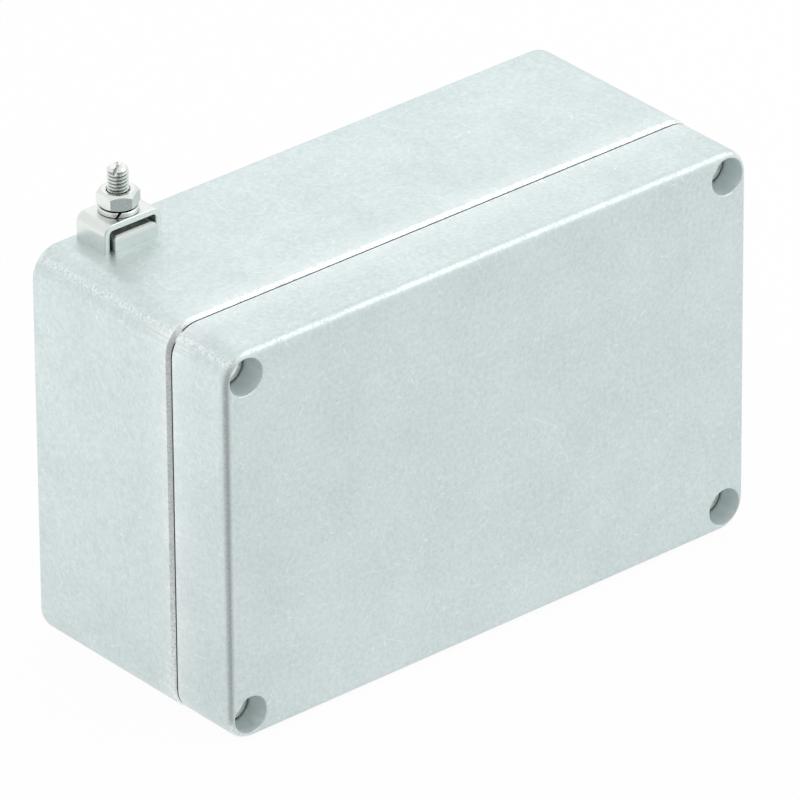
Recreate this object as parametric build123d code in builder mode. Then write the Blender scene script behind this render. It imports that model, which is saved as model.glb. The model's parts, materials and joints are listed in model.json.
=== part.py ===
from build123d import *
import math
import os

# Small die-cast aluminium enclosure with a screwed, gasketed lid and a through earth stud.
# Millimetres. The back face is the wall side: it lies in the XZ plane and its centre is the
# origin. The lid faces -Y, the long side runs along X, and +Z is up.

os.makedirs("parts", exist_ok=True)

# Outer size of the closed enclosure
length = 125.0
height = 80.0
base_depth = 39.8
lid_height = 15.2
corner_radius = 6.0
back_edge_radius = 2.0
front_edge_radius = 1.8
lid_inset = 0.2

# Base casting
wall = 3.5
floor = 3.5
wall_draft = 0.5
floor_radius = 1.5
rim_chamfer = 1.0
cavity_radius = 3.0
block_radius = 3.5

# Seal between base and lid: a tongue on the base enters a groove in the lid
tongue_width = 1.4
tongue_height = 2.0
groove_clearance = 0.2
gasket_thickness = 2.0
gasket_side_gap = 0.05
skirt_gap = 0.3

# Lid casting
lid_top = 3.0
lid_rib = 1.6

# Wall-fixing holes, in the corner blocks and outside the seal
fixing_end_distance = 6.0
fixing_side_distance = 14.0
fixing_hole_radius = 2.4
fixing_head_radius = 3.7
fixing_shoulder = 12.5
fixing_land = 0.4

# Tapped bosses on the floor for a mounting plate or rail
boss_end_distance = 26.5
boss_side_distance = 12.0
boss_radius = 4.0
boss_height = 4.0
boss_draft = 2.0
boss_hole_radius = 1.65
boss_hole_depth = 6.0

# Lid screws, with a reduced neck so that a retaining washer keeps each one in the lid
screw_edge = 5.25
screw_thread_radius = 2.0
screw_neck_radius = 1.55
screw_head_radius = 3.4
screw_head_height = 2.6
screw_head_depth = 5.0
screw_length = 16.0
screw_thread_length = 6.5
screw_slot_width = 1.2
screw_slot_depth = 1.2
screw_tip_chamfer = 0.5
screw_head_edge = 0.3
head_pocket_radius = 3.7
head_pocket_rim = 0.15
lid_bore_radius = 2.25
seat_radius = 3.2
tapped_depth = 14.0
tapped_mouth = 0.5
thread_clearance = 0.05
slot_angles = {"top_left": 48.0, "top_right": 48.0, "bottom_left": 48.0, "bottom_right": 48.0}

# Washers of the lid screws
retainer_thickness = 0.8
retainer_gap = 0.05
retainer_hole_radius = 1.65
spring_thickness = 1.0
spring_outer_radius = 3.8
spring_inner_radius = 2.1
spring_slit = 0.6
spring_slit_lean = 0.35
spring_edge = 0.15
lid_spring_outer_radius = 3.35

# Earth stud and its fittings
stud_radius = 2.0
stud_chamfer = 0.5
stud_slot_width = 0.8
stud_slot_depth = 1.2
stud_slot_angle = 33.0
stud_outer_free = 4.6
stud_inner_free = 2.5
stud_clearance = 0.15
earth_depth = 6.4
earth_end_distance = 16.0
earth_relief_gap = 0.3
earth_pad_radius = 5.0
earth_pad_height = 1.6
nut_across_flats = 7.0
nut_height = 3.2
nut_chamfer = 0.6
nut_face_inset = 0.45
nut_bore_chamfer = 0.3
plate_length = 9.8
plate_width = 10.0
plate_height = 2.0
plate_bevel = 0.6
saddle_length = 13.2
saddle_width = 8.2
saddle_height = 5.2
saddle_sheet = 1.3
saddle_bend = 0.7
saddle_edge = 0.25
seal_washer_thickness = 1.0
plain_washer_thickness = 0.8
plain_washer_radius = 4.0
outer_split_angle = -130.0
inner_split_angle = 40.0

# Worked out from the sizes above
half_length = length / 2
half_height = height / 2
total_depth = base_depth + lid_height
lid_skirt_depth = base_depth + skirt_gap
cavity_half_x = half_length - wall
cavity_half_z = half_height - wall
fixing_spacing_x = length - 2 * fixing_end_distance
fixing_spacing_z = height - 2 * fixing_side_distance
boss_spacing_x = length - 2 * boss_end_distance
boss_spacing_z = height - 2 * boss_side_distance
block_margin = fixing_head_radius + fixing_land + tongue_width
block_face_x = fixing_spacing_x / 2 - block_margin
block_face_z = fixing_spacing_z / 2 - block_margin
groove_depth = tongue_height + gasket_thickness
screw_spacing_x = length - 2 * screw_edge
screw_spacing_z = height - 2 * screw_edge
screw_seat = total_depth - screw_head_depth - screw_head_height
pocket_floor = screw_seat - spring_thickness - retainer_thickness
nut_corner_radius = nut_across_flats / 2 / math.cos(math.pi / 6)
earth_x = earth_end_distance - half_length
pad_face_z = cavity_half_z - earth_pad_height
relief_end_z = block_face_z - wall
saddle_top_z = half_height + saddle_height

corners = {
    "top_left": (-1, 1),
    "top_right": (1, 1),
    "bottom_left": (-1, -1),
    "bottom_right": (1, -1),
}


def wall_plane(depth):
    """Plane parallel to the wall, its normal pointing out of the enclosure towards the lid."""
    return Plane.XZ.offset(depth)


def side_plane(x, depth, z):
    """Level plane through a point on a screw's axis, for profiles revolved about that axis."""
    return Plane(origin=(x, -depth, z), x_dir=(1, 0, 0), z_dir=(0, 0, 1))


def earth_plane(z):
    """Level plane at the height z with its origin on the earth stud's axis."""
    return Plane(origin=(earth_x, -earth_depth, z))


def upright_plane(z):
    """Upright plane through the earth stud's axis, its origin on the axis at the height z."""
    return Plane(origin=(earth_x, -earth_depth, z), x_dir=(1, 0, 0), z_dir=(0, -1, 0))


def inner_outline(margin):
    """Outline inside the walls and between the corner blocks, moved outwards by margin."""
    near_x, far_x = block_face_x + margin, cavity_half_x + margin
    near_z, far_z = block_face_z + margin, cavity_half_z + margin
    with BuildSketch() as outline:
        RectangleRounded(2 * far_x, 2 * near_z, cavity_radius + margin)
        RectangleRounded(2 * near_x, 2 * far_z, cavity_radius + margin)
        inside_corners = [
            corner
            for corner in outline.vertices()
            if math.isclose(abs(corner.X), near_x, abs_tol=1e-4)
            and math.isclose(abs(corner.Y), near_z, abs_tol=1e-4)
        ]
        fillet(inside_corners, block_radius - margin)
    return outline.sketch


cavity_outline = inner_outline(0)
tongue_outline = inner_outline(tongue_width)
groove_outer = inner_outline(tongue_width + groove_clearance)
groove_inner = inner_outline(-groove_clearance)
gasket_outer = inner_outline(tongue_width + groove_clearance - gasket_side_gap)
gasket_inner = inner_outline(gasket_side_gap - groove_clearance)
lid_cavity_outline = inner_outline(-groove_clearance - lid_rib)

# Enclosure base
with BuildPart() as base:
    with BuildSketch(wall_plane(0)):
        RectangleRounded(length, height, corner_radius)
    extrude(amount=base_depth)
    fillet(base.edges().group_by(Axis.Y)[-1], back_edge_radius)
    chamfer(base.edges().group_by(Axis.Y)[0], rim_chamfer)
    # Hollow with drafted walls and a rounded floor edge
    with BuildSketch(wall_plane(base_depth)):
        add(cavity_outline)
    extrude(amount=floor - base_depth, taper=wall_draft, mode=Mode.SUBTRACT)
    floor_face = base.faces().filter_by(Axis.Y).sort_by(Axis.Y)[-2]
    fillet(floor_face.edges(), floor_radius)
    # Tongue along the edge of the hollow
    with BuildSketch(wall_plane(base_depth)):
        add(tongue_outline)
        add(cavity_outline, mode=Mode.SUBTRACT)
    extrude(amount=tongue_height)
    # Tapped floor bosses
    with BuildSketch(wall_plane(floor)):
        with GridLocations(boss_spacing_x, boss_spacing_z, 2, 2):
            Circle(boss_radius)
    extrude(amount=boss_height, taper=boss_draft)
    with BuildSketch(wall_plane(floor + boss_height)):
        with GridLocations(boss_spacing_x, boss_spacing_z, 2, 2):
            Circle(boss_hole_radius)
    extrude(amount=-boss_hole_depth, mode=Mode.SUBTRACT)
    # Thick pad inside the top wall round the earth stud
    with BuildSketch(earth_plane(pad_face_z)):
        Circle(earth_pad_radius)
    extrude(amount=earth_pad_height + wall / 2)
    with BuildSketch(earth_plane(half_height)):
        Circle(stud_radius + thread_clearance)
    extrude(amount=pad_face_z - half_height, mode=Mode.SUBTRACT)
    # Relief in the corner block, so that the nuts on the stud's inner end can be turned
    with BuildSketch(earth_plane(pad_face_z)):
        Circle(nut_corner_radius + earth_relief_gap)
    extrude(amount=relief_end_z - pad_face_z, mode=Mode.SUBTRACT)
    # Lid screw holes
    with BuildSketch(wall_plane(base_depth)):
        with GridLocations(screw_spacing_x, screw_spacing_z, 2, 2):
            Circle(screw_thread_radius + thread_clearance)
    extrude(amount=-tapped_depth, mode=Mode.SUBTRACT)
    with BuildSketch(wall_plane(base_depth)):
        with GridLocations(screw_spacing_x, screw_spacing_z, 2, 2):
            Circle(screw_thread_radius + tapped_mouth)
    extrude(amount=-tapped_mouth, taper=45, mode=Mode.SUBTRACT)
    # Wall-fixing holes, wide from the rim down to the shoulder that the screw head sits on
    with BuildSketch(wall_plane(0)):
        with GridLocations(fixing_spacing_x, fixing_spacing_z, 2, 2):
            Circle(fixing_hole_radius)
    extrude(amount=base_depth, mode=Mode.SUBTRACT)
    with BuildSketch(wall_plane(fixing_shoulder)):
        with GridLocations(fixing_spacing_x, fixing_spacing_z, 2, 2):
            Circle(fixing_head_radius)
    extrude(amount=base_depth - fixing_shoulder, mode=Mode.SUBTRACT)
base.part.label = "enclosure_base"
export_step(base.part, "parts/enclosure_base.step")

# Enclosure lid
with BuildPart() as lid:
    with BuildSketch(wall_plane(lid_skirt_depth)):
        RectangleRounded(length - 2 * lid_inset, height - 2 * lid_inset, corner_radius - lid_inset)
    extrude(amount=lid_height - skirt_gap)
    fillet(lid.edges().group_by(Axis.Y)[0], front_edge_radius)
    # Round seats that meet the base at the lid screws
    with BuildSketch(wall_plane(base_depth)):
        with GridLocations(screw_spacing_x, screw_spacing_z, 2, 2):
            Circle(seat_radius)
    extrude(amount=2 * skirt_gap)
    # Gasket groove
    with BuildSketch(wall_plane(base_depth)):
        add(groove_outer)
        add(groove_inner, mode=Mode.SUBTRACT)
    extrude(amount=groove_depth, mode=Mode.SUBTRACT)
    # Hollow inside the gasket's inner rib
    with BuildSketch(wall_plane(base_depth)):
        add(lid_cavity_outline)
    extrude(amount=lid_height - lid_top, taper=wall_draft, mode=Mode.SUBTRACT)
    # Screw bores and the pockets for the screw heads
    with BuildSketch(wall_plane(base_depth)):
        with GridLocations(screw_spacing_x, screw_spacing_z, 2, 2):
            Circle(lid_bore_radius)
    extrude(amount=lid_height, mode=Mode.SUBTRACT)
    with BuildSketch(wall_plane(pocket_floor)):
        with GridLocations(screw_spacing_x, screw_spacing_z, 2, 2):
            Circle(head_pocket_radius)
    extrude(amount=total_depth - pocket_floor, mode=Mode.SUBTRACT)
    # Broken edge round the mouth of each pocket
    with BuildSketch(wall_plane(total_depth)):
        with GridLocations(screw_spacing_x, screw_spacing_z, 2, 2):
            Circle(head_pocket_radius + head_pocket_rim)
    extrude(amount=-head_pocket_rim, taper=45, mode=Mode.SUBTRACT)
lid.part.label = "enclosure_lid"
export_step(lid.part, "parts/enclosure_lid.step")

# Gasket, a moulded ring that lies on the floor of the lid's groove
with BuildPart() as gasket:
    with BuildSketch(wall_plane(base_depth + tongue_height)):
        add(gasket_outer)
        add(gasket_inner, mode=Mode.SUBTRACT)
    extrude(amount=gasket_thickness)
gasket.part.label = "lid_gasket"
export_step(gasket.part, "parts/lid_gasket.step")


def slit_plane(centre, axis_dir, radial_dir):
    """Plane across a washer's ring, its y along the washer's axis and its normal outwards."""
    return Plane(
        origin=centre, x_dir=Vector(*axis_dir).cross(Vector(*radial_dir)), z_dir=radial_dir
    )


def slit_outline():
    """Leaning slit of a spring washer, drawn from its lower face up."""
    half = spring_slit / 2
    with BuildSketch() as outline:
        Polygon(
            (-half - spring_slit_lean, 0),
            (half - spring_slit_lean, 0),
            (half + spring_slit_lean, spring_thickness),
            (-half + spring_slit_lean, spring_thickness),
            align=None,
        )
    return outline.sketch


slit = slit_outline()

# Lid screws and their washers, one set in each corner
for corner, (side_x, side_z) in corners.items():
    x = side_x * screw_spacing_x / 2
    z = side_z * screw_spacing_z / 2
    screw_axis = Axis((x, 0, z), (0, 1, 0))
    neck_end = screw_length - screw_thread_length

    with BuildPart() as screw:
        with BuildSketch(side_plane(x, screw_seat, z)):
            with BuildLine():
                Polyline(
                    (0, -screw_head_height),
                    (screw_head_radius - screw_head_edge, -screw_head_height),
                    (screw_head_radius, screw_head_edge - screw_head_height),
                    (screw_head_radius, 0),
                    (screw_neck_radius, 0),
                    (screw_neck_radius, neck_end),
                    (screw_thread_radius, neck_end),
                    (screw_thread_radius, screw_length - screw_tip_chamfer),
                    (screw_thread_radius - screw_tip_chamfer, screw_length),
                    (0, screw_length),
                    close=True,
                )
            make_face()
        revolve(axis=screw_axis)
        with BuildSketch(wall_plane(screw_seat + screw_head_height)):
            with Locations((x, z)):
                Rectangle(2.2 * screw_head_radius, screw_slot_width, rotation=slot_angles[corner])
        extrude(amount=-screw_slot_depth, mode=Mode.SUBTRACT)
    screw.part.label = f"lid_screw_{corner}"
    export_step(screw.part, f"parts/lid_screw_{corner}.step")

    with BuildPart() as screw_spring:
        with BuildSketch(wall_plane(screw_seat - spring_thickness)):
            with Locations((x, z)):
                Circle(lid_spring_outer_radius)
                Circle(spring_inner_radius, mode=Mode.SUBTRACT)
        extrude(amount=spring_thickness)
        centre = (x, spring_thickness - screw_seat, z)
        with BuildSketch(slit_plane(centre, (0, -1, 0), (side_x, 0, 0))):
            add(slit)
        extrude(amount=2 * lid_spring_outer_radius, mode=Mode.SUBTRACT)
    screw_spring.part.label = f"lid_screw_spring_washer_{corner}"
    export_step(screw_spring.part, f"parts/lid_screw_spring_washer_{corner}.step")

    with BuildPart() as retainer:
        with BuildSketch(wall_plane(pocket_floor)):
            with Locations((x, z)):
                Circle(head_pocket_radius - retainer_gap)
                Circle(retainer_hole_radius, mode=Mode.SUBTRACT)
        extrude(amount=retainer_thickness)
    retainer.part.label = f"lid_screw_retainer_{corner}"
    export_step(retainer.part, f"parts/lid_screw_retainer_{corner}.step")

# Heights of the earth fittings, outwards from the top face and inwards from the pad
outer_spring_z = saddle_top_z
outer_nut_z = outer_spring_z + spring_thickness
stud_top_z = outer_nut_z + nut_height + stud_outer_free
inner_seal_z = pad_face_z - seal_washer_thickness
inner_washer_z = inner_seal_z - plain_washer_thickness
inner_spring_z = inner_washer_z - spring_thickness
inner_nut_z = inner_spring_z - nut_height
contact_washer_z = inner_nut_z - plain_washer_thickness
pressure_washer_z = contact_washer_z - plain_washer_thickness
clamp_spring_z = pressure_washer_z - spring_thickness
clamp_nut_z = clamp_spring_z - nut_height
stud_bottom_z = clamp_nut_z - stud_inner_free
stud_axis = Axis((earth_x, -earth_depth, 0), (0, 0, 1))

# Earth stud, through the top wall
with BuildPart() as stud:
    with BuildSketch(earth_plane(stud_bottom_z)):
        Circle(stud_radius)
    extrude(amount=stud_top_z - stud_bottom_z)
    chamfer(stud.edges().filter_by(GeomType.CIRCLE), stud_chamfer)
    with BuildSketch(earth_plane(stud_top_z)):
        Rectangle(3 * stud_radius, stud_slot_width, rotation=stud_slot_angle)
    extrude(amount=-stud_slot_depth, mode=Mode.SUBTRACT)
stud.part.label = "earth_stud"
export_step(stud.part, "parts/earth_stud.step")

# Clamp plate, a flat block with bevelled upper edges that the wire lies on
with BuildPart() as plate:
    with BuildSketch(earth_plane(half_height)):
        Rectangle(plate_length, plate_width)
        Circle(stud_radius + stud_clearance, mode=Mode.SUBTRACT)
    extrude(amount=plate_height)
    upper_edges = plate.edges().group_by(Axis.Z)[-1].filter_by(GeomType.LINE)
    chamfer(upper_edges, plate_bevel)
plate.part.label = "earth_clamp_plate"
export_step(plate.part, "parts/earth_clamp_plate.step")

# Saddle, bent from sheet to a U whose legs stand on the top face
with BuildPart() as saddle:
    saddle_front = Plane.XZ.offset(earth_depth - saddle_width / 2)
    with BuildSketch(saddle_front) as bent:
        with Locations((earth_x, half_height + saddle_height / 2)):
            Rectangle(saddle_length, saddle_height)
        fillet(bent.vertices().group_by(Axis.Y)[-1], saddle_bend + saddle_sheet)
        with Locations((earth_x, half_height + (saddle_height - saddle_sheet) / 2)):
            Rectangle(
                saddle_length - 2 * saddle_sheet, saddle_height - saddle_sheet, mode=Mode.SUBTRACT
            )
        inside_z = saddle_top_z - saddle_sheet
        inner_bends = [v for v in bent.vertices() if math.isclose(v.Y, inside_z, abs_tol=1e-4)]
        fillet(inner_bends, saddle_bend)
    extrude(amount=saddle_width)
    # Tumbled edges, apart from the feet of the legs
    end_faces = saddle.faces().filter_by(Axis.Y)
    fillet([e for e in end_faces.edges() if e.center().Z > half_height + saddle_edge], saddle_edge)
    with BuildSketch(earth_plane(saddle_top_z)):
        Circle(stud_radius + stud_clearance)
    extrude(amount=-2 * saddle_sheet, mode=Mode.SUBTRACT)
saddle.part.label = "earth_saddle"
export_step(saddle.part, "parts/earth_saddle.step")

# Hex nuts, their lower face at the given height, with the corners chamfered at both ends
nuts = {"earth_nut": outer_nut_z, "inner_fixing_nut": inner_nut_z, "inner_clamp_nut": clamp_nut_z}
for name, z in nuts.items():
    bore_radius = stud_radius + thread_clearance
    with BuildPart() as nut:
        with BuildSketch(earth_plane(z)):
            RegularPolygon(nut_across_flats / 2, 6, major_radius=False, rotation=30)
        extrude(amount=nut_height)
        face_radius = nut_across_flats / 2 - nut_face_inset
        with BuildSketch(upright_plane(z)):
            with BuildLine():
                Polyline(
                    (0, 0),
                    (face_radius, 0),
                    (nut_corner_radius, nut_chamfer),
                    (nut_corner_radius, nut_height - nut_chamfer),
                    (face_radius, nut_height),
                    (0, nut_height),
                    close=True,
                )
            make_face()
        revolve(axis=stud_axis, mode=Mode.INTERSECT)
        with BuildSketch(earth_plane(z)):
            Circle(bore_radius)
        extrude(amount=nut_height, mode=Mode.SUBTRACT)
        bore_rims = [
            edge
            for edge in nut.edges().filter_by(GeomType.CIRCLE)
            if math.isclose(edge.radius, bore_radius, abs_tol=1e-4)
        ]
        chamfer(bore_rims, nut_bore_chamfer)
    nut.part.label = name
    export_step(nut.part, f"parts/{name}.step")

# Spring washers on the stud
stud_springs = {
    "earth_spring_washer": (outer_spring_z, outer_split_angle),
    "inner_fixing_spring_washer": (inner_spring_z, inner_split_angle),
    "inner_clamp_spring_washer": (clamp_spring_z, inner_split_angle),
}
for name, (z, split_angle) in stud_springs.items():
    out_x, out_y = math.cos(math.radians(split_angle)), math.sin(math.radians(split_angle))
    with BuildPart() as stud_spring:
        with BuildSketch(earth_plane(z)):
            Circle(spring_outer_radius)
            Circle(spring_inner_radius, mode=Mode.SUBTRACT)
        extrude(amount=spring_thickness)
        outer_rims = stud_spring.edges().filter_by(GeomType.CIRCLE).sort_by(SortBy.RADIUS)[-2:]
        chamfer(outer_rims, spring_edge)
        with BuildSketch(slit_plane((earth_x, -earth_depth, z), (0, 0, 1), (out_x, out_y, 0))):
            add(slit)
        extrude(amount=2 * spring_outer_radius, mode=Mode.SUBTRACT)
    stud_spring.part.label = name
    export_step(stud_spring.part, f"parts/{name}.step")

# Flat washers on the stud's inner end
flat_washers = {
    "inner_seal_washer": (inner_seal_z, seal_washer_thickness),
    "inner_fixing_washer": (inner_washer_z, plain_washer_thickness),
    "inner_contact_washer": (contact_washer_z, plain_washer_thickness),
    "inner_pressure_washer": (pressure_washer_z, plain_washer_thickness),
}
for name, (z, thickness) in flat_washers.items():
    with BuildPart() as washer:
        with BuildSketch(earth_plane(z)):
            Circle(plain_washer_radius)
            Circle(stud_radius + stud_clearance, mode=Mode.SUBTRACT)
        extrude(amount=thickness)
    washer.part.label = name
    export_step(washer.part, f"parts/{name}.step")
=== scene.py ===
# %% [markdown]
# Explosion-proof enclosure
#
# A small die-cast aluminium terminal box, seen closed. The CAD frame gives every piece its size and
# place. This script gives them their finishes, makes the real threads of the stud and the screws
# and a higher clamp plate, and sets up the floor, the lamps and the camera.

# %% Tools and the CAD frame
import json
import math

import bmesh
import bpy
from mathutils import Matrix, Vector


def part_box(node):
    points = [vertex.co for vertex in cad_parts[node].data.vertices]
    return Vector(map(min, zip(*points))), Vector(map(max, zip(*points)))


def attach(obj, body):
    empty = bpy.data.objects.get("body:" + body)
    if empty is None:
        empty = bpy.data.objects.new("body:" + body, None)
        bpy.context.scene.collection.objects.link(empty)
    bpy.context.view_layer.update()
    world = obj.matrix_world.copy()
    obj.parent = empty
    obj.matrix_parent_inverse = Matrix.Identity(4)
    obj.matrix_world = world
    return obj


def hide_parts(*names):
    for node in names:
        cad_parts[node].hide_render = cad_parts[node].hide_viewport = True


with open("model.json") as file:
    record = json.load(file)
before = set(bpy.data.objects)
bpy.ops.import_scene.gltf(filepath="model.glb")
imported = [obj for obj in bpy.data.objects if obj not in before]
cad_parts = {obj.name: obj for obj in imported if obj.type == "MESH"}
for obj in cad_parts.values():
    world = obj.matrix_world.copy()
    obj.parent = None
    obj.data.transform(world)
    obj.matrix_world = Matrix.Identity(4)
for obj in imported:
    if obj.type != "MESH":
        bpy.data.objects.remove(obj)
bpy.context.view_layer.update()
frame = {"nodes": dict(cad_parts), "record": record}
nodes = frame["nodes"]

# %% [markdown]
# The frame is in metres and the drawings of such a box are in millimetres. One value turns real
# millimetres into scene units, so that every size below can be read off a drawing. The places come
# from the boxes of the CAD nodes, so they follow the frame if a size there changes.

# %% Sizes and places read from the frame
mm = 0.001


def middle(name):
    """Centre of a CAD node's box."""
    low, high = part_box(name)
    return (low + high) / 2


stud_low, stud_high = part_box("earth_stud")
stud_radius = (stud_high.x - stud_low.x) / 2
stud_length = stud_high.z - stud_low.z
base_low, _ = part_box("enclosure_base")
lid_low, lid_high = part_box("enclosure_lid")
parting_line = lid_high.y
print(f"stud radius {stud_radius / mm:.2f} mm, length {stud_length / mm:.1f} mm")

# %% [markdown]
# A colour is chosen as a hex value, the way a paint or metal swatch gives it. Blender's shaders
# want linear light, so one function undoes the sRGB curve.

# %% Colours


def linear(hex_code):
    """Linear colour of an sRGB hex value such as 'C8CCCC'."""
    channels = [int(hex_code[i : i + 2], 16) / 255 for i in (0, 2, 4)]
    curve = [c / 12.92 if c <= 0.04045 else ((c + 0.055) / 1.055) ** 2.4 for c in channels]
    return (*curve, 1.0)


print("mid grey 808080 is", round(linear("808080")[0], 3), "in linear light")

# %% [markdown]
# Every finish here is a small network of nodes. One function adds a node: settings are its own
# properties, and inputs holds what goes into its sockets, either a number or another node's output.

# %% Adding a node


def add_node(tree, kind, inputs=None, **settings):
    """Add a node, set its properties, and fill or link its sockets."""
    made = tree.nodes.new(kind)
    for name, value in settings.items():
        setattr(made, name, value)
    for name, value in (inputs or {}).items():
        if isinstance(value, bpy.types.NodeSocket):
            tree.links.new(value, made.inputs[name])
        else:
            made.inputs[name].default_value = value
    return made


def new_finish(name):
    """Material with its tree and shader, and the object's own coordinates in mm and facing."""
    finish = bpy.data.materials.new(name)
    finish.use_nodes = True
    tree = finish.node_tree
    tree.nodes.clear()
    shader = add_node(tree, "ShaderNodeBsdfPrincipled")
    add_node(tree, "ShaderNodeOutputMaterial", {"Surface": shader.outputs["BSDF"]})
    place = add_node(tree, "ShaderNodeTexCoord")
    scaled = add_node(
        tree,
        "ShaderNodeVectorMath",
        {0: place.outputs["Object"], "Scale": 1 / mm},
        operation="SCALE",
    )
    return finish, tree, shader, scaled.outputs["Vector"], place.outputs["Normal"]


print("finishes so far:", len(bpy.data.materials))

# %% [markdown]
# Most networks need the same few steps: a sum on values, a blend of two colours, a value stretched
# from one range to another, and random patches. The patches are noise on the object's own
# coordinates, divided by a real size in millimetres, so they keep that size on every piece.

# %% Sums, blends, ranges and patches


def calc(tree, operation, first, second=0.0, third=0.0):
    """Result of one sum on values."""
    made = add_node(
        tree, "ShaderNodeMath", {0: first, 1: second, 2: third}, operation=operation
    )
    return made.outputs[0]


def blended(tree, amount, low, high):
    """Colour between two colours, each a hex value or another node's output."""
    low, high = (linear(c) if isinstance(c, str) else c for c in (low, high))
    mixed = add_node(tree, "ShaderNodeMix", {0: amount, 6: low, 7: high}, data_type="RGBA")
    return mixed.outputs[2]


def ranged(tree, value, from_low, from_high, to_low=0.0, to_high=1.0):
    """Value mapped from one range to another, held at the ends."""
    mapped = add_node(
        tree,
        "ShaderNodeMapRange",
        {0: value, 1: from_low, 2: from_high, 3: to_low, 4: to_high},
    )
    return mapped.outputs[0]


def patches(tree, place, size, detail=4.0, roughness=0.55, stretch=(1, 1, 1)):
    """Random patches of a real size in millimetres, drawn out along an axis by stretch."""
    drawn = add_node(
        tree,
        "ShaderNodeVectorMath",
        {0: place, 1: [1 / (size * s) for s in stretch]},
        operation="MULTIPLY",
    )
    noise = add_node(
        tree,
        "ShaderNodeTexNoise",
        {"Vector": drawn.outputs[0], "Scale": 1.0, "Detail": detail, "Roughness": roughness},
    )
    return noise.outputs["Fac"]


print("node helpers ready")

# %% [markdown]
# Tumbling the casting against stones leaves fine scratches in every direction. Each cell of a
# Voronoi pattern holds one scratch: the cell's random colour gives its direction, and a thin band
# through the cell's centre is the scratch. Stretched noise would be simpler, but all its lines run
# one way. A face only takes the scratches drawn in its own plane.

# %% Scratches in every direction
faces = {"front": (0, 2, 1), "top": (0, 1, 2), "side": (1, 2, 0)}


def scratches(tree, place, facing, cell, width, reach, share):
    """Thin lines of random direction, about one per cell of the given size, all in mm."""
    parts = add_node(tree, "ShaderNodeSeparateXYZ", {0: place}).outputs
    turned_to = add_node(tree, "ShaderNodeSeparateXYZ", {0: facing}).outputs
    total = None
    for along, across, outward in faces.values():
        flat = add_node(tree, "ShaderNodeCombineXYZ", {0: parts[along], 1: parts[across]})
        cells = add_node(
            tree,
            "ShaderNodeTexVoronoi",
            {"Vector": flat.outputs[0], "Scale": 1 / cell},
            voronoi_dimensions="2D",
        )
        offset = add_node(
            tree,
            "ShaderNodeVectorMath",
            {0: flat.outputs[0], 1: cells.outputs["Position"]},
            operation="SUBTRACT",
        )
        dice = add_node(tree, "ShaderNodeSeparateColor", {0: cells.outputs["Color"]}).outputs
        angle = calc(tree, "MULTIPLY", dice[0], 2 * math.pi)
        line = add_node(
            tree,
            "ShaderNodeVectorRotate",
            {"Vector": offset.outputs[0], "Angle": angle},
            rotation_type="Z_AXIS",
        )
        local = add_node(tree, "ShaderNodeSeparateXYZ", {0: line.outputs[0]}).outputs
        thin = ranged(tree, calc(tree, "ABSOLUTE", local[1]), 0.0, width, 1.0, 0.0)
        short = ranged(tree, calc(tree, "ABSOLUTE", local[0]), reach * 0.6, reach, 1.0, 0.0)
        here = ranged(tree, dice[1], 1 - share, 1.0)
        in_plane = ranged(tree, calc(tree, "ABSOLUTE", turned_to[outward]), 0.8, 0.95)
        mark = calc(
            tree,
            "MULTIPLY",
            calc(tree, "MULTIPLY", thin, short),
            calc(tree, "MULTIPLY", here, in_plane),
        )
        total = mark if total is None else calc(tree, "ADD", total, mark)
    return total


print("scratches on", ", ".join(faces))

# %% [markdown]
# Two things make real edges look real. Where the surface turns a sharp edge, the tumbling has
# rounded the casting and rubbed it bright, while on the steel the edge is lifted as a painted
# highlight: the Bevel node gives the rounded direction, and where that differs from the face's own
# direction there is an edge. Inside gaps little light gets in, and the colour there is darkened as
# painted shade: the Ambient Occlusion node finds those places. Both work at any pose.

# %% Edges and crevices


def rounded_edges(tree, radius):
    """Surface direction with its edges rounded by a radius in mm, and where those edges are."""
    soft = add_node(tree, "ShaderNodeBevel", {"Radius": radius * mm}, samples=6)
    flat = add_node(tree, "ShaderNodeNewGeometry")
    same = add_node(
        tree,
        "ShaderNodeVectorMath",
        {0: soft.outputs[0], 1: flat.outputs["Normal"]},
        operation="DOT_PRODUCT",
    )
    return soft.outputs[0], ranged(tree, same.outputs["Value"], 0.98, 0.8)


def painted_crevice_shade(tree, reach, dark_below=0.45):
    """Painted shade mask: one inside narrow gaps, zero in the open. Gaps are about as wide as reach
    in mm.
    """
    open_sky = add_node(tree, "ShaderNodeAmbientOcclusion", {"Distance": reach * mm}, samples=8)
    return ranged(tree, open_sky.outputs["AO"], dark_below, dark_below / 3)


print("edge and crevice helpers ready")

# %% [markdown]
# The casing is bare die-cast aluminium, tumbled to a pale satin. To the eye that is a light,
# slightly cool metal with a fine mottle, sparse bright specks and light scratches in every
# direction. Its rounded ridges are rubbed brighter in an irregular streak. Real grain is finer
# than a pixel here, so the mottle is drawn about 0.9 mm wide. Sizes are in millimetres.

# %% Where the casting is worn
mottle_size, cloud_size, speck_cell = 0.9, 12.0, 0.9


def without_signs(tree, vector):
    """The three parts of a vector, each made positive."""
    positive = add_node(tree, "ShaderNodeVectorMath", {0: vector}, operation="ABSOLUTE")
    return add_node(tree, "ShaderNodeSeparateXYZ", {0: positive.outputs[0]}).outputs


def ridge_places(tree, facing):
    """How far a surface is turned away from all six main directions, from zero to one."""
    parts = without_signs(tree, facing)
    main = calc(tree, "MAXIMUM", calc(tree, "MAXIMUM", parts[0], parts[1]), parts[2])
    along_depth = calc(tree, "MULTIPLY", parts[0], parts[2])
    return ranged(tree, main, 0.84, 0.74), ranged(tree, along_depth, 0.06, 0.3)


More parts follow.
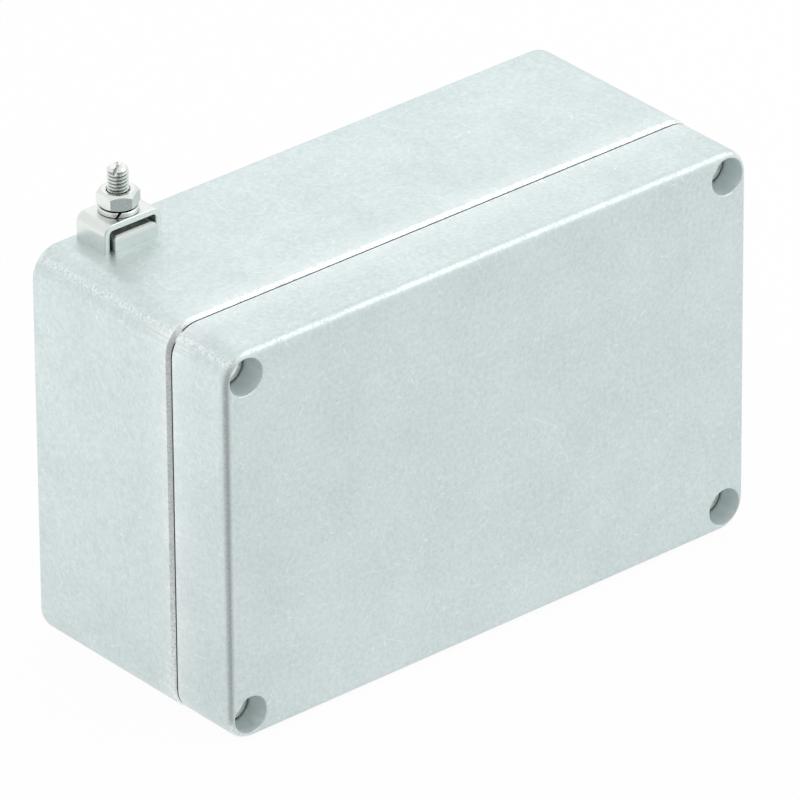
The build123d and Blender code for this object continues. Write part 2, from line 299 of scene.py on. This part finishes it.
def specks(tree, place):
    """Small bright dots, one in some cells of a 3-D pattern."""
    cells = add_node(
        tree, "ShaderNodeTexVoronoi", {"Vector": place, "Scale": 1 / speck_cell, "Randomness": 1.0}
    )
    dice = add_node(tree, "ShaderNodeSeparateColor", {0: cells.outputs["Color"]}).outputs
    size = ranged(tree, dice[0], 0.55, 1.0, 0.0, 0.2)
    dot = calc(tree, "LESS_THAN", cells.outputs["Distance"], size)
    return calc(tree, "MULTIPLY", dot, dice[1])


print("mottle", mottle_size, "mm, specks about", speck_cell, "mm apart")

# %% [markdown]
# Beside the parting line the casting flash was ground off along the depth of the box, which leaves
# short brushed marks at the corners. A zone below says how far from the line its marks have faded
# out, and how near to it they are at full strength. A thin dark line of painted shade runs along
# the rear edge of the lid, just ahead of the line, where the joint would lie in shade. The box is
# the same on both sides of its middle, so a place without its signs stands for both ends, for top
# and bottom, and for all four screw pockets.

# %% Beside the parting line and in the screw pockets
brushed_zone, pale_zone, ground_zone = (9.0, 2.0), (7.0, 0.5), (3.5, 0.5)
# Where the line of painted shade on the lid's rear edge lies, ahead of the parting line, and its
# half width, in mm.
joint_shade_ahead, joint_shade_half_width = 0.45, 0.17
lid_skin, soft_step = 1.0, 0.2
pocket_radius, pocket_rim = 3.7, 0.15


def ground_marks(tree, place, corner):
    """Brushed marks along the depth, strongest on the corners beside the parting line."""
    depth = add_node(tree, "ShaderNodeSeparateXYZ", {0: place}).outputs[1]
    from_line = calc(tree, "ABSOLUTE", calc(tree, "SUBTRACT", depth, parting_line / mm))
    near = ranged(tree, from_line, *brushed_zone)
    beside = ranged(tree, from_line, *pale_zone)
    close = ranged(tree, from_line, *ground_zone)
    lines = patches(tree, place, 0.35, detail=2.0, stretch=(1, 24, 1))
    broken = patches(tree, place, 5.0, detail=2.0)
    where = calc(tree, "MAXIMUM", calc(tree, "MULTIPLY", near, corner), close)
    weight = calc(tree, "MULTIPLY", where, ranged(tree, broken, 0.35, 0.6))
    return calc(tree, "MULTIPLY", weight, ranged(tree, lines, 0.42, 0.66)), beside


def screw_pockets(tree, place, facing):
    """One on the walls of the four pockets that the lid screws sit in."""
    parts = without_signs(tree, place)
    flat = add_node(tree, "ShaderNodeCombineXYZ", {0: parts[0], 2: parts[2]}).outputs[0]
    screw = middle("lid_screw_top_right") / mm
    axis = (abs(screw.x), 0.0, abs(screw.z))
    from_axis = add_node(
        tree, "ShaderNodeVectorMath", {0: flat, 1: axis}, operation="DISTANCE"
    ).outputs["Value"]
    forwards = add_node(tree, "ShaderNodeSeparateXYZ", {0: facing}).outputs[1]
    upright = ranged(tree, calc(tree, "ABSOLUTE", forwards), 0.6, 0.4)
    mouth = pocket_radius + pocket_rim
    inside = ranged(tree, from_axis, mouth + 0.1, mouth)
    return calc(tree, "MULTIPLY", inside, upright)


def painted_joint_shade(tree, place):
    """Painted shade on the rear edge of the lid, a dark line all round beside the parting line."""
    parts = without_signs(tree, place)
    line = abs(parting_line / mm) + joint_shade_ahead
    from_line = calc(tree, "ABSOLUTE", calc(tree, "SUBTRACT", parts[1], line))
    end, top = lid_high.x / mm - lid_skin, lid_high.z / mm - lid_skin
    outside = calc(
        tree,
        "MAXIMUM",
        ranged(tree, parts[0], end - soft_step, end + soft_step),
        ranged(tree, parts[2], top - soft_step, top + soft_step),
    )
    thin = ranged(tree, from_line, joint_shade_half_width + 0.03, joint_shade_half_width - 0.03)
    return calc(tree, "MULTIPLY", thin, outside)


print("ground beside", round(parting_line / mm, 1), "mm, pockets", 2 * pocket_radius, "mm wide")

# %% [markdown]
# The finish puts these places together. The metal's own colour is a blend of two pale greys. Marks,
# rubbed ridges and edges move it towards white, and gaps towards a dark green-grey as painted
# shade.
# The stones don't reach into the screw pockets, so their walls keep the matte skin of the casting
# and are less like a mirror. Their colour is also painted paler, as painted light that lifts their
# shade. A fine relief goes with the colour, because a scratch is a groove.

# %% Tumbled die-cast aluminium
pocket_metallic = 0.42


def make_cast_aluminium():
    """Pale satin casting with mottle, specks, scratches, worn ridges and painted shade in gaps."""
    finish, tree, shader, place, facing = new_finish("tumbled_die_cast_aluminium")
    clouds = patches(tree, place, cloud_size, detail=4.0)
    mottle = patches(tree, place, mottle_size, detail=5.0, roughness=0.75)
    tone = calc(
        tree,
        "ADD",
        calc(tree, "MULTIPLY", ranged(tree, mottle, 0.25, 0.75), 0.8),
        calc(tree, "MULTIPLY", ranged(tree, clouds, 0.3, 0.7), 0.2),
    )
    pocket = screw_pockets(tree, place, facing)
    # Painted light: the walls of the screw pockets are painted paler than the casting, to lift
    # their shade.
    ground = blended(tree, pocket, blended(tree, tone, "C5D2D2", "E2EBEB"), "E6F0F0")
    fine = scratches(tree, place, facing, cell=2.0, width=0.17, reach=0.8, share=0.55)
    long = scratches(tree, place, facing, cell=8.0, width=0.16, reach=3.2, share=0.4)
    grouped = ranged(tree, patches(tree, place, 7.0, detail=3.0), 0.4, 0.62, 0.15, 1.0)
    marks = calc(tree, "MULTIPLY_ADD", fine, grouped, calc(tree, "MULTIPLY", long, 0.6))
    ridge, corner = ridge_places(tree, facing)
    rubbed = calc(
        tree, "MULTIPLY", ridge, ranged(tree, patches(tree, place, 0.45, detail=4.0), 0.4, 0.62)
    )
    brushed, beside = ground_marks(tree, place, corner)
    soft_normal, edge = rounded_edges(tree, 0.18)
    light = calc(tree, "MULTIPLY", specks(tree, place), 0.5)
    shares = ((marks, 0.85), (rubbed, 0.75), (brushed, 0.6), (beside, 0.25), (edge, 0.5))
    for amount, share in shares:
        light = calc(tree, "MULTIPLY_ADD", amount, share, light)
    bright = blended(tree, calc(tree, "MINIMUM", light, 1.0), ground, "F4F8F8")
    # Painted shade: narrow gaps and the lid's joint line are darkened towards a dark green-grey.
    gap = calc(tree, "MAXIMUM", painted_crevice_shade(tree, 0.9), painted_joint_shade(tree, place))
    tree.links.new(blended(tree, gap, bright, "18211F"), shader.inputs["Base Color"])
    metallic = ranged(tree, pocket, 0.0, 1.0, 1.0, pocket_metallic)
    tree.links.new(metallic, shader.inputs["Metallic"])
    rough_spots = calc(tree, "SUBTRACT", ridge, rubbed)
    gloss = calc(tree, "MULTIPLY_ADD", rough_spots, 0.1, ranged(tree, tone, 0.2, 0.8, 0.5, 0.42))
    tree.links.new(gloss, shader.inputs["Roughness"])
    relief = calc(tree, "MULTIPLY_ADD", marks, -0.6, calc(tree, "MULTIPLY", mottle, 0.6))
    bump = add_node(
        tree,
        "ShaderNodeBump",
        {"Height": relief, "Strength": 0.3, "Distance": 0.02 * mm, "Normal": soft_normal},
    )
    tree.links.new(bump.outputs["Normal"], shader.inputs["Normal"])
    return finish


cast_aluminium = make_cast_aluminium()
print(cast_aluminium.name, "has", len(cast_aluminium.node_tree.nodes), "nodes")

# %% [markdown]
# Screws, stud, nuts and washers are turned or pressed stainless steel. Beside the aluminium it is a
# little more neutral and much glossier, with fine tool marks, a painted highlight on its rounded
# edges and painted shade in its gaps. The saddle is bent from rolled sheet and the clamp plate cut
# from drawn bar, which are duller. A rolled thread has small sharp crests and deep roots, which get
# a stronger painted shade. One function makes all four.

# %% Stainless steel


def make_steel(name, dark, light, gloss, mark_size, edge_radius=0.12, edge_highlight=0.6, shade=0.35):
    """Steel with tool marks, a painted highlight on rounded edges and painted shade in narrow gaps.
    Sizes in mm.
    """
    finish, tree, shader, place, _ = new_finish(name)
    marks = patches(tree, place, mark_size, detail=3.0)
    soft_normal, edge = rounded_edges(tree, edge_radius)
    ground = blended(tree, marks, dark, light)
    # Painted highlight: rounded edges are lifted towards near-white.
    metal = blended(tree, calc(tree, "MULTIPLY", edge, edge_highlight), ground, "F6F7F5")
    # Painted shade: narrow gaps are darkened towards near-black.
    gap = painted_crevice_shade(tree, 0.7, dark_below=shade)
    tree.links.new(blended(tree, gap, metal, "101212"), shader.inputs["Base Color"])
    tree.links.new(ranged(tree, marks, 0.3, 0.7, *gloss), shader.inputs["Roughness"])
    shader.inputs["Metallic"].default_value = 1.0
    tree.links.new(soft_normal, shader.inputs["Normal"])
    return finish


turned_steel = make_steel("turned_stainless_steel", "D8DCD9", "EAEDEA", (0.2, 0.3), 0.4)
sheet_steel = make_steel("rolled_stainless_sheet", "D8DDDA", "E7EBE8", (0.3, 0.4), 0.8, edge_highlight=0.3)
drawn_steel = make_steel("drawn_stainless_bar", "CCD2CE", "DCE1DE", (0.35, 0.45), 0.8, edge_highlight=0.35)
# The thread steel has a stronger painted shade in its roots and a painted highlight on its crests.
thread_steel = make_steel(
    "rolled_thread_steel",
    "DADEDB",
    "ECEFEC",
    (0.2, 0.3),
    0.4,
    edge_radius=0.06,
    edge_highlight=0.5,
    shade=0.7,
)
print(turned_steel.name, sheet_steel.name, drawn_steel.name, thread_steel.name)

# %% [markdown]
# The gasket is moulded silicone, the retaining washers are punched nylon, and the washer that
# seals the stud is red-brown vulcanised fibre. All three are matte and not metal, so one function
# makes them from a colour pair and a grain.

# %% Moulded and punched seals


def make_matte(name, dark, light, gloss, grain):
    """Matte finish with a fine mottled grain in mm."""
    finish, tree, shader, place, _ = new_finish(name)
    mottle = patches(tree, place, grain)
    tree.links.new(blended(tree, mottle, dark, light), shader.inputs["Base Color"])
    shader.inputs["Roughness"].default_value = gloss
    return finish


silicone = make_matte("moulded_silicone", "5A5C5E", "707274", 0.6, 0.8)
nylon = make_matte("punched_nylon", "D6D5CC", "E4E3DC", 0.45, 0.6)
fibre = make_matte("vulcanised_fibre", "6E2A1C", "8A3A28", 0.7, 0.5)
print(silicone.name, nylon.name, fibre.name)

# %% [markdown]
# The record names a material slot for each node, so the finishes are handed out by slot. The
# saddle and the clamp plate are sheet and bar, and take the duller steels.

# %% Finishes on the CAD nodes
by_slot = {
    "cast_aluminium": cast_aluminium,
    "stainless_steel": turned_steel,
    "silicone": silicone,
    "nylon": nylon,
    "fibre": fibre,
}
duller = {"earth_saddle": sheet_steel, "earth_clamp_plate": drawn_steel}
slot_of = {part["node"]: part["material_slot"] for part in frame["record"]["subparts"]}
for name, node in nodes.items():
    node.data.materials.clear()
    node.data.materials.append(duller.get(name, by_slot[slot_of[name]]))
print(len(nodes), "nodes finished")

# %% [markdown]
# A screw thread is a V that climbs one pitch per turn. The CAD solids have plain cylinders there.
# Here one pitch of the V is drawn as a short chain of edges, and spin turns it round the axis while
# it climbs, so each turn ends where the next begins. Separate rings would be easier, but a thread
# is one spiral, and its slope shows in the photograph.

# %% One metric thread
thread_pitch = 0.7 * mm
thread_depth = 0.6134 * thread_pitch
tip_chamfer = 0.5 * mm
steps_per_turn = 28


def spun_thread(radius, length):
    """Bmesh of a closed threaded rod along +Z from the origin, chamfered at its ends."""
    root = radius - thread_depth
    shape = bmesh.new()
    flanks = [(1 / 8, root), (7 / 16, radius), (9 / 16, radius), (7 / 8, root)]
    across = [(0, root), *flanks, (1, root)]
    start = [shape.verts.new((r, 0, (share - 1) * thread_pitch)) for share, r in across]
    chain = [shape.edges.new(pair) for pair in zip(start, start[1:])]
    turns = math.ceil(length / thread_pitch) + 1
    bmesh.ops.spin(
        shape,
        geom=start + chain,
        cent=(0, 0, 0),
        axis=(0, 0, 1),
        dvec=(0, 0, thread_pitch / steps_per_turn),
        angle=2 * math.pi * turns,
        steps=steps_per_turn * turns,
        use_merge=False,
    )
    bmesh.ops.remove_doubles(shape, verts=shape.verts, dist=0.002 * mm)
    for height, side in ((0, -1), (length, 1)):
        bmesh.ops.bisect_plane(
            shape,
            geom=shape.verts[:] + shape.edges[:] + shape.faces[:],
            plane_co=(0, 0, height),
            plane_no=(0, 0, side),
            clear_outer=True,
        )
    for vert in shape.verts:
        from_end = min(vert.co.z, length - vert.co.z)
        allowed = radius - tip_chamfer + from_end
        reach = math.hypot(vert.co.x, vert.co.y)
        if reach > allowed:
            vert.co.x *= allowed / reach
            vert.co.y *= allowed / reach
    rims = [edge for edge in shape.edges if edge.is_boundary]
    bmesh.ops.holes_fill(shape, edges=rims, sides=0)
    bmesh.ops.recalc_face_normals(shape, faces=shape.faces)
    return shape


print("thread: pitch", round(thread_pitch / mm, 2), "mm, depth", round(thread_depth / mm, 2), "mm")

# %% [markdown]
# A bmesh is only a shape in memory. To show it, it becomes a mesh, gets its finish and is linked to
# the scene. Edges that turn by less than a limit are shaded smooth, so that round parts look round
# and sharp edges stay crisp. A driver slot is cut with a Boolean modifier, and the result is kept
# as the new mesh, which is simpler than building each slot into its outline.

# %% Turning a bmesh into a piece of the scene


def as_piece(shape, name, finish, smooth_angle=30):
    """Object from a bmesh, smooth shaded up to an angle, with its finish."""
    mesh = bpy.data.meshes.new(name)
    shape.to_mesh(mesh)
    shape.free()
    mesh.materials.append(finish)
    piece = bpy.data.objects.new(name, mesh)
    bpy.context.scene.collection.objects.link(piece)
    mesh.shade_smooth()
    mesh.set_sharp_from_angle(angle=math.radians(smooth_angle))
    return piece


def cut_slot(piece, centre, size, turn, outward):
    """Cut a straight driver slot into a piece. outward is the direction the slot opens to."""
    box = bmesh.new()
    bmesh.ops.create_cube(box, size=1)
    bmesh.ops.scale(box, vec=size, verts=box.verts)
    bmesh.ops.rotate(box, matrix=Matrix.Rotation(turn, 3, "Z"), verts=box.verts)
    to_axis = Vector((0, 0, 1)).rotation_difference(Vector(outward)).to_matrix()
    bmesh.ops.rotate(box, matrix=to_axis, verts=box.verts)
    bmesh.ops.translate(box, vec=centre, verts=box.verts)
    cutter = as_piece(box, "cutter", turned_steel)
    slot = piece.modifiers.new("slot", "BOOLEAN")
    slot.operation, slot.solver, slot.object = "DIFFERENCE", "EXACT", cutter
    evaluated = piece.evaluated_get(bpy.context.evaluated_depsgraph_get())
    cut_mesh = bpy.data.meshes.new_from_object(evaluated)
    piece.modifiers.remove(slot)
    piece.data = cut_mesh
    bpy.data.objects.remove(cutter)


print("piece helpers ready")

# %% [markdown]
# The earth stud is a threaded rod with a slotted tip, so that it can be held with a screwdriver
# while its nut is tightened. The threaded rod replaces the plain CAD cylinder.

# %% Earth stud
stud_slot_angle = math.radians(33)
stud_slot_width, stud_slot_depth = 0.65 * mm, 0.9 * mm
stud_shape = spun_thread(stud_radius, stud_length)
stud_foot = Vector((middle("earth_stud").x, middle("earth_stud").y, stud_low.z))
bmesh.ops.translate(stud_shape, vec=stud_foot, verts=stud_shape.verts)
stud = as_piece(stud_shape, "threaded_earth_stud", thread_steel)
cut_slot(
    stud,
    centre=Vector((stud_foot.x, stud_foot.y, stud_high.z)),
    size=(3 * stud_radius, stud_slot_width, 2 * stud_slot_depth),
    turn=stud_slot_angle,
    outward=(0, 0, 1),
)
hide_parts("earth_stud")
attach(stud, "base")
print("stud faces:", len(stud.data.polygons))

# %% [markdown]
# The clamp plate is a short length of drawn bar with a wide bevel round its upper face. It
# presses the earth conductor on the casting. The photograph shows it nearly filling the saddle's
# window, a little higher than the CAD plate, so it is made here to that height on the same foot.
# The bevel has two segments, because a single flat one would mirror the key lamp as a white band.

# %% Clamp plate
plate_low, plate_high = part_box("earth_clamp_plate")
plate_height, plate_bevel = 2.9 * mm, 0.85 * mm
plate_size = Vector((plate_high.x - plate_low.x, plate_high.y - plate_low.y, plate_height))
bar = bmesh.new()
bmesh.ops.create_cube(bar, size=1)
bmesh.ops.scale(bar, vec=plate_size, verts=bar.verts)
foot = Vector((middle("earth_clamp_plate").x, middle("earth_clamp_plate").y, plate_low.z))
bmesh.ops.translate(bar, vec=foot + Vector((0, 0, plate_height / 2)), verts=bar.verts)
half_way = plate_low.z + plate_height / 2
top_edges = [edge for edge in bar.edges if min(v.co.z for v in edge.verts) > half_way]
bmesh.ops.bevel(
    bar,
    geom=top_edges,
    offset=plate_bevel,
    segments=2,
    profile=0.5,
    affect="EDGES",
    material=-1,
)
plate = as_piece(bar, "bevelled_clamp_plate", drawn_steel, smooth_angle=20)
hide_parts("earth_clamp_plate")
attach(plate, "base")
print("clamp plate in mm:", [round(v / mm, 1) for v in plate_size])

# %% [markdown]
# The lid screws are cheese-head screws with a thin neck, so that they stay in the lid when it is
# taken off. Head and neck are one outline spun round the axis, because they are round in every
# section. The sizes that the photograph doesn't show follow the CAD screw.

# %% Head and neck of a lid screw
screw_low, screw_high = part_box("lid_screw_top_left")
head_radius = (screw_high.x - screw_low.x) / 2
screw_length = screw_high.y - screw_low.y
head_height, head_edge = 2.6 * mm, 0.3 * mm
neck_radius, neck_in_thread = 1.55 * mm, 0.3 * mm
thread_radius, thread_length = 2.0 * mm, 6.5 * mm
slot_width, slot_depth, slot_angle = 1.2 * mm, 1.2 * mm, math.radians(48)
neck_end = screw_length - thread_length + neck_in_thread


def lid_screw_shape():
    """Bmesh of a screw along Z, the top of its head at zero and its tip below."""
    shape = bmesh.new()
    outline = [
        (0, 0),
        (head_radius - head_edge, 0),
        (head_radius, -head_edge),
        (head_radius, -head_height),
        (neck_radius, -head_height),
        (neck_radius, -neck_end),
        (0, -neck_end),
    ]
    points = [shape.verts.new((r, 0, z)) for r, z in outline]
    chain = [shape.edges.new(pair) for pair in zip(points, points[1:])]
    bmesh.ops.spin(
        shape,
        geom=points + chain,
        cent=(0, 0, 0),
        axis=(0, 0, 1),
        angle=2 * math.pi,
        steps=64,
        use_merge=True,
    )
    bmesh.ops.remove_doubles(shape, verts=shape.verts, dist=0.001 * mm)
    bmesh.ops.recalc_face_normals(shape, faces=shape.faces)
    return shape


print(f"screw head {2 * head_radius / mm:.1f} mm wide, neck ends {neck_end / mm:.1f} mm below it")

# %% [markdown]
# Each screw is made in its own corner, because a finished piece keeps its place in its mesh. The
# thread is the same spiral as on the stud and overlaps the neck by a little, so that no gap shows.
# Both ride on the CAD screw that they stand for, so they turn and lift with it.

# %% Four lid screws
to_lid = Matrix.Rotation(math.radians(90), 3, "X")
for corner in ("top_left", "top_right", "bottom_left", "bottom_right"):
    node_name = f"lid_screw_{corner}"
    low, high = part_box(node_name)
    head_top = Vector(((low.x + high.x) / 2, low.y, (low.z + high.z) / 2))
    shape = lid_screw_shape()
    bmesh.ops.rotate(shape, matrix=to_lid, verts=shape.verts)
    bmesh.ops.translate(shape, vec=head_top, verts=shape.verts)
    screw = as_piece(shape, f"slotted_screw_{corner}", turned_steel)
    cut_slot(
        screw,
        centre=head_top,
        size=(2.4 * head_radius, slot_width, 2 * slot_depth),
        turn=slot_angle,
        outward=(0, -1, 0),
    )
    threaded = spun_thread(thread_radius, thread_length)
    bmesh.ops.translate(threaded, vec=(0, 0, -screw_length), verts=threaded.verts)
    bmesh.ops.rotate(threaded, matrix=to_lid, verts=threaded.verts)
    bmesh.ops.translate(threaded, vec=head_top, verts=threaded.verts)
    thread_piece = as_piece(threaded, f"screw_thread_{corner}", turned_steel)
    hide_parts(node_name)
    for piece in (screw, thread_piece):
        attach(piece, node_name)
print("four screws with", round(thread_length / mm, 1), "mm of thread")

# %% [markdown]
# The enclosure stands on a plain pale floor. The floor and the world show as white to the camera,
# to the metal and through anything clear, and the lamps only shape the faces. A small part of the
# floor's light still comes from the lamps and the sky, so that the box keeps its soft shadow.

# %% Floor
floor_height, floor_reach = base_low.z, 6.0
own_white = 0.95


def white_to_eye(tree):
    """One for the rays that show the background itself: seen, mirrored or looked through."""
    ray = add_node(tree, "ShaderNodeLightPath").outputs
    mirrored = calc(tree, "MAXIMUM", ray["Is Glossy Ray"], ray["Is Transmission Ray"])
    return calc(tree, "MAXIMUM", ray["Is Camera Ray"], mirrored)


def make_floor():
    """Wide pale floor with a matte finish that reads as white."""
    finish, tree, shader, place, _ = new_finish("pale_floor")
    shader.inputs["Base Color"].default_value = linear("F4F4F4")
    shader.inputs["Roughness"].default_value = 0.9
    glow = add_node(tree, "ShaderNodeEmission", {"Color": linear("FFFFFF"), "Strength": 1.0})
    amount = calc(tree, "MULTIPLY", white_to_eye(tree), own_white)
    mixed = add_node(
        tree, "ShaderNodeMixShader", {0: amount, 1: shader.outputs["BSDF"], 2: glow.outputs[0]}
    )
    output = next(n for n in tree.nodes if n.type == "OUTPUT_MATERIAL")
    tree.links.new(mixed.outputs[0], output.inputs["Surface"])
    shape = bmesh.new()
    bmesh.ops.create_grid(shape, x_segments=1, y_segments=1, size=floor_reach)
    bmesh.ops.translate(shape, vec=(0, 0, floor_height), verts=shape.verts)
    return as_piece(shape, "floor", finish)


floor = make_floor()
print("floor at", round(floor_height / mm, 1), "mm")

# %% [markdown]
# Satin metal shows its surroundings blurred, so the faces take their tone from the room. The key
# lamp stands high on the right, in front, where the chamfer along the top of the rim and the
# rounded top edge of the lid mirror it: both turn white. A weaker lamp behind lifts the top.

# %% World and lamps
world = bpy.data.worlds.new("white_studio")
bpy.context.scene.world = world
world.use_nodes = True
sky = world.node_tree
sky.nodes.clear()
level = ranged(sky, white_to_eye(sky), 0.0, 1.0, 0.9, 1.0)
background = add_node(sky, "ShaderNodeBackground", {"Color": linear("FFFFFF"), "Strength": level})
add_node(sky, "ShaderNodeOutputWorld", {"Surface": background.outputs[0]})
centre = (base_low + lid_high) / 2


def add_softbox(name, direction, distance, size, power):
    """Square area lamp in a direction from the box. Sizes in metres, power in watts."""
    lamp = bpy.data.lights.new(name, "AREA")
    lamp.size, lamp.energy = size, power
    holder = bpy.data.objects.new(name, lamp)
    outward = Vector(direction).normalized()
    holder.location = centre + outward * distance
    holder.rotation_euler = (-outward).to_track_quat("-Z", "Y").to_euler()
    bpy.context.scene.collection.objects.link(holder)
    return holder


front_right, back_right = (0.564, -0.488, 0.666), (0.564, 0.666, 0.52)
softboxes = [
    add_softbox("key_softbox", front_right, distance=1.6, size=0.9, power=3.4),
    add_softbox("back_softbox", back_right, distance=2.4, size=1.6, power=1.6),
]
print("lamps:", [lamp.name for lamp in softboxes])

# %% [markdown]
# A photographer sets cards round bright metal, out of the picture. A grey one on the camera's side
# gives it dark edges, so that its form can be read, and a white one at the left lifts the side
# face. Each starts as a strip on the floor and rises behind, and only shows to mirrored rays.

# %% Cards round the box
card_near, card_far, card_half_width, card_lift = 0.002, 2.6, 1.5, 0.001
fade_reach = 160.0


def add_card(name, foot, turn, near_level, far_level, height):
    """Wedge of card from a foot point outwards, turned in degrees. Its level changes with reach."""
    finish, tree, shader, place, _ = new_finish(name)
    tree.nodes.remove(shader)
    reach = add_node(
        tree, "ShaderNodeVectorMath", {0: place, 1: foot / mm}, operation="DISTANCE"
    ).outputs["Value"]
    level = ranged(tree, reach, 0.0, fade_reach, near_level, far_level)
    glow = add_node(tree, "ShaderNodeEmission", {"Color": linear("FFFFFF"), "Strength": level})
    output = next(n for n in tree.nodes if n.type == "OUTPUT_MATERIAL")
    tree.links.new(glow.outputs[0], output.inputs["Surface"])
    shape = bmesh.new()
    path = [(card_near, card_lift), (card_far, card_lift), (card_far, height)]
    points = [shape.verts.new((out, -card_half_width, up)) for out, up in path]
    chain = [shape.edges.new(pair) for pair in zip(points, points[1:])]
    swept = bmesh.ops.extrude_edge_only(shape, edges=chain)["geom"]
    moved = [part for part in swept if isinstance(part, bmesh.types.BMVert)]
    bmesh.ops.translate(shape, vec=(0, 2 * card_half_width, 0), verts=moved)
    nearest = [vert for vert in shape.verts if vert.co.x < 2 * card_near]
    bmesh.ops.scale(shape, vec=(1, card_near / card_far, 1), verts=nearest)
    turned = Matrix.Rotation(math.radians(turn), 3, "Z")
    bmesh.ops.rotate(shape, matrix=turned, verts=shape.verts)
    bmesh.ops.translate(shape, vec=foot, verts=shape.verts)
    card = as_piece(shape, name, finish)
    card.visible_camera = card.visible_diffuse = card.visible_shadow = False
    card.visible_transmission = card.visible_volume_scatter = False
    return card


front_left = Vector((base_low.x, lid_low.y, floor_height))
cards = [
    add_card("grey_card", front_left, -130.0, near_level=0.36, far_level=0.36, height=2.4),
    add_card("white_card", front_left, 130.0, near_level=0.88, far_level=1.14, height=0.05),
]
print("cards:", [card.name for card in cards])

# %% [markdown]
# The camera stands about two metres away with a long lens, as for a catalogue picture, so the
# edges of the box stay nearly parallel. Its direction, distance and slight roll were found by
# fitting the box's corners and edges to the photograph.

# %% Camera
aim = Vector((0.3, -29.132, -1.881)) * mm
distance = 2069.28 * mm
heading, tilt, roll = math.radians(40.277), math.radians(29.213), -0.00756
forward = Vector(
    (math.sin(heading) * math.cos(tilt), math.cos(heading) * math.cos(tilt), -math.sin(tilt))
)
level_right = Vector((math.cos(heading), -math.sin(heading), 0))
level_up = level_right.cross(forward)
right = math.cos(roll) * level_right + math.sin(roll) * level_up
up = math.cos(roll) * level_up - math.sin(roll) * level_right
camera_data = bpy.data.cameras.new("camera")
camera_data.sensor_width, camera_data.lens = 36, 508.86
camera_data.clip_start, camera_data.clip_end = 0.1, 30
camera = bpy.data.objects.new("camera", camera_data)
axes = Matrix((right, up, -forward)).transposed().to_4x4()
camera.matrix_world = Matrix.Translation(aim - forward * distance) @ axes
bpy.context.scene.collection.objects.link(camera)
bpy.context.scene.camera = camera
bpy.context.scene.view_settings.view_transform = "Standard"
print("camera at", [round(v / mm) for v in camera.location], "mm")
